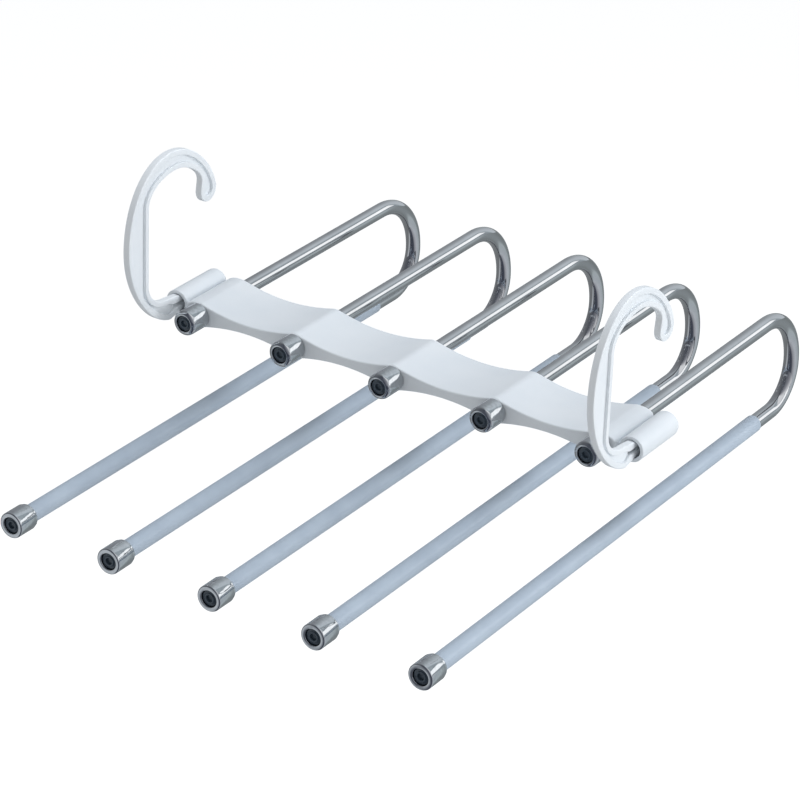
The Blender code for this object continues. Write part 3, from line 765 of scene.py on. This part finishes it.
def hook_lines():
    """The curves that bound the C, as (y, z) from the rod seat, with the C to their left.

    Returns the round tip's centre and last angle, the outer line of nose, back and keel, and
    the inner line of heel, chord and throat. All but the straight chord are arcs of ellipses,
    a little flattened or swelled by their flat shares.
    """
    height = CROWN_THICKNESS - PIN_Z + PIN_HALF + KEEL_LIP
    back_rise = BACK_HEIGHT_SHARE * height
    heel_drop = HEEL_HEIGHT_SHARE * height
    nose_width = THROAT_HALF_WIDTH + 2 * HOOK_TIP_R + BACK_OFFSET
    back_width = THROAT_HALF_WIDTH + SPINE_WIDTH - BACK_OFFSET
    keel_width = THROAT_HALF_WIDTH + SPINE_WIDTH + KEEL_OFFSET
    back_centre = (-BACK_OFFSET, CROWN_THICKNESS - back_rise)
    keel_centre = (KEEL_OFFSET, back_centre[1])
    heel_centre = (HEEL_WIDTH - THROAT_HALF_WIDTH, PIN_Z + PIN_HALF + HEEL_LIP + heel_drop)
    throat_centre = (0, -THROAT_RISE)
    nose = curve((-BACK_OFFSET, CROWN_THICKNESS - NOSE_DROP), nose_width, NOSE_DROP,
                 TIP_ANGLE, 90, flat_share=NOSE_FLAT_SHARE)
    lean = math.radians(TIP_ANGLE)
    across = math.atan2(math.sin(lean) / NOSE_DROP, math.cos(lean) / nose_width)
    tip_centre = nose[0] - HOOK_TIP_R * np.array([math.cos(across), math.sin(across)])
    back = curve(back_centre, back_width, back_rise, 90, 180, flat_share=BACK_FLAT_SHARE)
    keel = curve(keel_centre, keel_width, height - back_rise, 180, KEEL_END,
                 flat_share=KEEL_FLAT_SHARE)
    heel = curve(heel_centre, HEEL_WIDTH, heel_drop, 270, 180, 24)
    throat = np.vstack([
        curve(throat_centre, THROAT_HALF_WIDTH, THROAT_RISE, 180, 90, 24),
        curve(throat_centre, THROAT_HALF_WIDTH, THROAT_RISE, 90, 0, 24,
              THROAT_FLAT_SHARE)[1:]])
    outer = np.vstack([nose, back[1:], keel[1:]])
    inner = np.vstack([heel, throat[1:]])
    return tip_centre, math.degrees(across), outer, inner


def rim_loop():
    """One closed line round both rims and both prongs: out along the C, back along the channel."""
    tip_centre, across, outer, inner = hook_lines()
    mouth = BRIDGE_Y - BRIDGE_HALF_DEPTH + BARREL_SET_BACK - GAP
    barb = BRIDGE_Y + CHAMBER_REAR - CHAMBER_LENGTH + GAP
    nose_end = barb + PIN_BARB_LENGTH
    wide = PIN_HALF + PIN_BARB_STEP
    side = np.array([(mouth, PIN_HALF + PIN_SHOULDER), (mouth, PIN_HALF), (barb, PIN_HALF),
                     (barb, wide), (nose_end - PIN_NOSE, wide),
                     (nose_end, PIN_HALF - PIN_NOSE), (nose_end, PIN_SLOT_HALF),
                     (mouth - PIN_SLOT_LENGTH, PIN_SLOT_HALF)])
    lower = side * (1, -1) + (0, PIN_Z)
    upper = side[::-1] + (0, PIN_Z)
    tip = curve(tip_centre, HOOK_TIP_R, HOOK_TIP_R, -180, across, 24)
    channel_tip = curve(tip_centre, PANEL_TIP_R, PANEL_TIP_R, across, -180, 24)
    channel = np.vstack([beside(outer, OUTER_RIM)[1:][::-1], channel_tip,
                         beside(inner, INNER_RIM)[::-1]])
    parts = [(tip, HOOK_EDGE_R), (outer[1:], HOOK_EDGE_R), (lower, HOOK_EDGE_R),
             (channel, CHANNEL_EDGE_R), (upper, HOOK_EDGE_R), (inner, HOOK_EDGE_R)]
    return np.vstack([np.column_stack([line, np.full(len(line), r)]) for line, r in parts])


def web_loop():
    """The closed line round the thin web, which reaches a little way into both rims."""
    tip_centre, across, outer, inner = hook_lines()
    tip_r = PANEL_TIP_R + PANEL_OVERLAP
    tip = curve(tip_centre, tip_r, tip_r, -180, across, 24)
    slot = BRIDGE_Y - BRIDGE_HALF_DEPTH + BARREL_SET_BACK - GAP - PIN_SLOT_LENGTH
    half = PIN_SLOT_HALF + PANEL_OVERLAP
    line = np.vstack([tip, beside(outer, OUTER_RIM - PANEL_OVERLAP)[1:],
                      [(slot, PIN_Z - half), (slot, PIN_Z + half)],
                      beside(inner, INNER_RIM - PANEL_OVERLAP)])
    return np.column_stack([line, np.full(len(line), WEB_EDGE_R)])


def plate_points(line, thickness, middle_x):
    """Rows of points round a flat plate with rounded edges.

    Each row is the closed line moved inwards by r (1 - sin t), at half - r (1 - cos t) to one
    side of the plate's middle, where r is the edge radius that the line carries at each point.
    """
    loop, edge_r = line[:, :2], line[:, 2]
    step = np.roll(loop, -1, 0) - np.roll(loop, 1, 0)
    step /= np.hypot(step[:, 0], step[:, 1])[:, None]
    inward = np.stack([-step[:, 1], step[:, 0]], 1)
    t = np.linspace(0, math.pi / 2, 7)[:, None]
    inset = edge_r * (1 - np.sin(t))
    rise = thickness / 2 - edge_r * (1 - np.cos(t))
    inset = np.concatenate([inset, inset[::-1]])
    x = np.concatenate([-rise, rise[::-1]])
    yz = loop + inset[:, :, None] * inward
    return np.stack([middle_x + x, yz[:, :, 0], yz[:, :, 1]], -1)


def add_plate(name, points, mat):
    """A plate's rows of points made a closed mesh, with both flats filled by triangles."""
    rows, count = points.shape[:2]
    plate = add_piece(name, points, grid_faces(rows, count, closed_columns=True), mat)
    bm = bmesh.new()
    bm.from_mesh(plate.data)
    rims = [edge for edge in bm.edges if edge.is_boundary]
    for first in (True, False):
        bmesh.ops.triangle_fill(bm, use_beauty=True,
                                edges=[e for e in rims if (e.verts[0].index < count) == first])
    bmesh.ops.recalc_face_normals(bm, faces=bm.faces)
    bm.to_mesh(plate.data)
    bm.free()
    return plate


hook_abs = abs_material("glossy white ABS", "#EDF1F4", "#E8EDF1", 0.33)
rims, web = rounded_loop(rim_loop()), rounded_loop(web_loop())
for side_name, side in (("left", -1), ("right", 1)):
    middle_x = side * BARREL_X
    hook = add_plate(f"hook_{side_name}_moulding",
                     plate_points(rims, HOOK_THICKNESS, middle_x), hook_abs)
    inner_web = add_plate("web", plate_points(web, HOOK_THICKNESS - 2 * PANEL_DEPTH, middle_x),
                          hook_abs)
    cut_or_join(hook, [inner_web], "UNION")
    hook.data.shade_smooth()
    hook.data.set_sharp_from_angle(angle=math.radians(HOOK_SHARP_ANGLE))
    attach(hook, f"hook_{side_name}")
    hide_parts(f"hook_{side_name}")

# The studio holds the hanger up over a pale floor, between broad soft lights above, behind on
# the right and on the right. Floor and room are white to the camera. Polished metal sees a
# studio round it: a lit panel behind on the right, a grey ceiling and a dark front.
FLOOR_DROP = 1200 * MM
FLOOR_HALF = 30000 * MM
FLOOR_GLOW = 0.5
SKY_STRENGTH = 0.53
PANEL_LIGHT = (1.6, 1.62, 1.63, 1)
PANEL_EDGE_LIGHT = (0.40, 0.45, 0.49, 1)
LIGHT_AIM = (0, 0, -0.08)


def levels(*rows):
    """Colour stops from rows of (share, red, green, blue) or (share, grey), as linear light.

    On a ramp round the studio, the share is of a turn seen from above, clockwise from the front:
    0.25 is the left, 0.5 the back and 0.75 the right.
    """
    return [(share, (*(light * 3 if len(light) == 1 else light), 1.0))
            for share, *light in rows]


def make_floor_material():
    """Matt white paper to the lamps and the camera, and shades of grey to polished metal."""
    mat, tree, place = blank_material("white studio paper")
    rays = add(tree, "ShaderNodeLightPath")
    split = add(tree, "ShaderNodeSeparateXYZ", inputs={"Vector": place})
    round_about = add(tree, "ShaderNodeMath", {"operation": "ARCTAN2"},
                      {0: split.outputs["X"], 1: split.outputs["Y"]})
    turn = add(tree, "ShaderNodeMapRange", inputs={
        "Value": round_about.outputs[0], "From Min": -math.pi, "From Max": math.pi})
    seen = add(tree, "ShaderNodeValToRGB", inputs={"Fac": turn.outputs["Result"]}, stops=levels(
        (0.0, 0.07, 0.08, 0.11), (1.0, 0.07, 0.08, 0.11), (0.06, 0.12, 0.13, 0.16),
        (0.10, 0.72, 0.76, 0.80), (0.13, 0.52, 0.55, 0.58), (0.17, 0.24, 0.25, 0.26),
        (0.42, 0.28, 0.30, 0.31), (0.535, 0.28, 0.31, 0.32), (0.585, 0.36, 0.40, 0.42),
        (0.605, 0.58, 0.65, 0.67), (0.62, 0.55, 0.61, 0.65), (0.72, 0.66, 0.70, 0.75),
        (0.82, 0.42, 0.43, 0.47), (0.88, 0.08, 0.09, 0.12)))
    paper = add(tree, "ShaderNodeBsdfDiffuse", inputs={"Color": linear("#EDEDED")})
    white = add(tree, "ShaderNodeEmission", inputs={
        "Color": linear("#FFFFFF"), "Strength": FLOOR_GLOW})
    lit = add(tree, "ShaderNodeAddShader", inputs={0: paper.outputs[0], 1: white.outputs[0]})
    to_camera = add(tree, "ShaderNodeMixShader", inputs={
        "Fac": rays.outputs["Is Camera Ray"], 1: paper.outputs[0], 2: lit.outputs[0]})
    to_metal = add(tree, "ShaderNodeEmission", inputs={"Color": seen.outputs["Color"]})
    both = add(tree, "ShaderNodeMixShader", inputs={
        "Fac": rays.outputs["Is Glossy Ray"], 1: to_camera.outputs[0], 2: to_metal.outputs[0]})
    add(tree, "ShaderNodeOutputMaterial", inputs={"Surface": both.outputs[0]})
    return mat


corners = [(x * FLOOR_HALF, y * FLOOR_HALF, -FLOOR_DROP)
           for x, y in ((-1, -1), (1, -1), (1, 1), (-1, 1))]
floor_mesh = bpy.data.meshes.new("studio_floor")
floor_mesh.from_pydata(corners, [], [(0, 1, 2, 3)])
floor_mesh.materials.append(make_floor_material())
floor = bpy.data.objects.new("studio_floor", floor_mesh)
bpy.context.scene.collection.objects.link(floor)


def make_world():
    """White to the camera, a plain pale sky to matt surfaces, a lit studio to polished ones.

    The studio's light goes by the turn round it and by the steepness, which is rise over level
    reach. The panel spans a part of both, with a darker band below it and one above.
    """
    world = bpy.data.worlds.new("studio room")
    bpy.context.scene.world = world
    world.use_nodes = True
    tree = world.node_tree
    tree.nodes.clear()
    rays = add(tree, "ShaderNodeLightPath")
    coords = add(tree, "ShaderNodeTexCoord")
    split = add(tree, "ShaderNodeSeparateXYZ", inputs={"Vector": coords.outputs["Generated"]})
    x, y, z = split.outputs
    round_about = add(tree, "ShaderNodeMath", {"operation": "ARCTAN2"}, {0: x, 1: y})
    turn = add(tree, "ShaderNodeMapRange", inputs={
        "Value": round_about.outputs[0], "From Min": -math.pi, "From Max": math.pi})
    flat = add(tree, "ShaderNodeCombineXYZ", inputs={"X": x, "Y": y})
    reach = add(tree, "ShaderNodeVectorMath", {"operation": "LENGTH"},
                {0: flat.outputs["Vector"]})
    steep = add(tree, "ShaderNodeMath", {"operation": "DIVIDE"},
                {0: z, 1: reach.outputs["Value"]})
    ceiling = add(tree, "ShaderNodeValToRGB", inputs={"Fac": turn.outputs["Result"]}, stops=levels(
        (0.0, 0.10, 0.11, 0.14), (1.0, 0.10, 0.11, 0.14), (0.15, 0.16, 0.17, 0.19),
        (0.28, 0.26, 0.27, 0.29), (0.39, 0.34, 0.36, 0.39), (0.412, 0.41, 0.44, 0.47),
        (0.447, 0.53, 0.58, 0.61), (0.49, 0.70, 0.75, 0.80), (0.545, 0.76, 0.83, 0.88),
        (0.56, 0.46, 0.52, 0.56), (0.615, 0.52, 0.58, 0.62), (0.63, 1.05, 1.06, 1.08),
        (0.74, 1.05, 1.06, 1.08), (0.85, 0.38, 0.39, 0.43)))
    panel = add(tree, "ShaderNodeValToRGB", inputs={"Fac": turn.outputs["Result"]}, stops=levels(
        (0.0, 0), (1.0, 0), (0.565, 0), (0.575, 1), (0.74, 1), (0.75, 0)))
    height = add(tree, "ShaderNodeValToRGB", inputs={"Fac": steep.outputs[0]}, stops=levels(
        (0.0, 0), (1.0, 0), (0.14, 0), (0.16, 1), (0.52, 1), (0.54, 0)))
    edge = add(tree, "ShaderNodeValToRGB", inputs={"Fac": steep.outputs[0]}, stops=levels(
        (0.0, 0), (1.0, 0), (0.01, 1), (0.14, 1), (0.16, 0), (0.52, 0), (0.54, 1), (0.62, 1),
        (0.65, 0)))
    in_panel = add(tree, "ShaderNodeMath", {"operation": "MULTIPLY"},
                   {0: panel.outputs["Color"], 1: height.outputs["Color"]})
    in_edge = add(tree, "ShaderNodeMath", {"operation": "MULTIPLY"},
                  {0: panel.outputs["Color"], 1: edge.outputs["Color"]})
    darkened = add(tree, "ShaderNodeMix", {"data_type": "RGBA"}, {
        0: in_edge.outputs[0], 6: ceiling.outputs["Color"], 7: PANEL_EDGE_LIGHT})
    studio = add(tree, "ShaderNodeMix", {"data_type": "RGBA"}, {
        0: in_panel.outputs[0], 6: darkened.outputs[2], 7: PANEL_LIGHT})
    to_matt = add(tree, "ShaderNodeBackground", inputs={
        "Color": linear("#FDFEFF"), "Strength": SKY_STRENGTH})
    to_metal = add(tree, "ShaderNodeBackground", inputs={"Color": studio.outputs[2]})
    to_camera = add(tree, "ShaderNodeBackground", inputs={"Color": linear("#FFFFFF")})
    first = add(tree, "ShaderNodeMixShader", inputs={
        "Fac": rays.outputs["Is Glossy Ray"], 1: to_matt.outputs[0], 2: to_metal.outputs[0]})
    second = add(tree, "ShaderNodeMixShader", inputs={
        "Fac": rays.outputs["Is Camera Ray"], 1: first.outputs[0], 2: to_camera.outputs[0]})
    add(tree, "ShaderNodeOutputWorld", inputs={"Surface": second.outputs[0]})


def area_light(name, place, size, watts, colour):
    """A square soft light, facing the hanger. Metal sees the room in its stead."""
    data = bpy.data.lights.new(name, "AREA")
    data.shape = "SQUARE"
    data.size = size
    data.energy = watts
    data.color = linear(colour)[:3]
    lamp = bpy.data.objects.new(name, data)
    lamp.location = place
    sight = Vector(LIGHT_AIM) - Vector(place)
    lamp.rotation_euler = sight.to_track_quat("-Z", "Y").to_euler()
    lamp.visible_glossy = False
    bpy.context.scene.collection.objects.link(lamp)


make_world()
area_light("light_above", (-0.2, 0.2, 2.0), size=1.8, watts=17, colour="#F0F6FF")
area_light("light_behind_right", (1.8, 1.0, 0.7), size=1.4, watts=17, colour="#F6FAFF")
area_light("light_right", (2.2, 0.5, 0.0), size=1.2, watts=12.5, colour="#FAFCFF")

# The camera looks down on the hanger from its front right corner through a long lens, turned
# a little about its line of sight, as the photograph was taken.
CAMERA_AIM = Vector((-8.27, 21.33, -97.9)) * MM
CAMERA_DISTANCE = 1774.4 * MM
CAMERA_AZIMUTH = math.radians(32.52)
CAMERA_ELEVATION = math.radians(26.76)
CAMERA_ROLL = math.radians(2.12)
LENS = 162.54
SENSOR_WIDTH = 36
CLIP_END = 100


def make_camera():
    """Places the camera at its distance back along its line of sight, rolled about it."""
    az, el = CAMERA_AZIMUTH, CAMERA_ELEVATION
    sight = Vector((-math.sin(az) * math.cos(el), math.cos(az) * math.cos(el), -math.sin(el)))
    level = Vector((math.cos(az), math.sin(az), 0))
    up = level.cross(sight)
    right = math.cos(CAMERA_ROLL) * level + math.sin(CAMERA_ROLL) * up
    top = -math.sin(CAMERA_ROLL) * level + math.cos(CAMERA_ROLL) * up
    data = bpy.data.cameras.new("camera")
    data.sensor_width = SENSOR_WIDTH
    data.lens = LENS
    data.clip_end = CLIP_END
    camera = bpy.data.objects.new("camera", data)
    turned = Matrix((right, top, -sight)).transposed().to_4x4()
    camera.matrix_world = Matrix.Translation(CAMERA_AIM - sight * CAMERA_DISTANCE) @ turned
    bpy.context.scene.collection.objects.link(camera)
    bpy.context.scene.camera = camera


make_camera()
bpy.context.scene.view_settings.view_transform = "Standard"
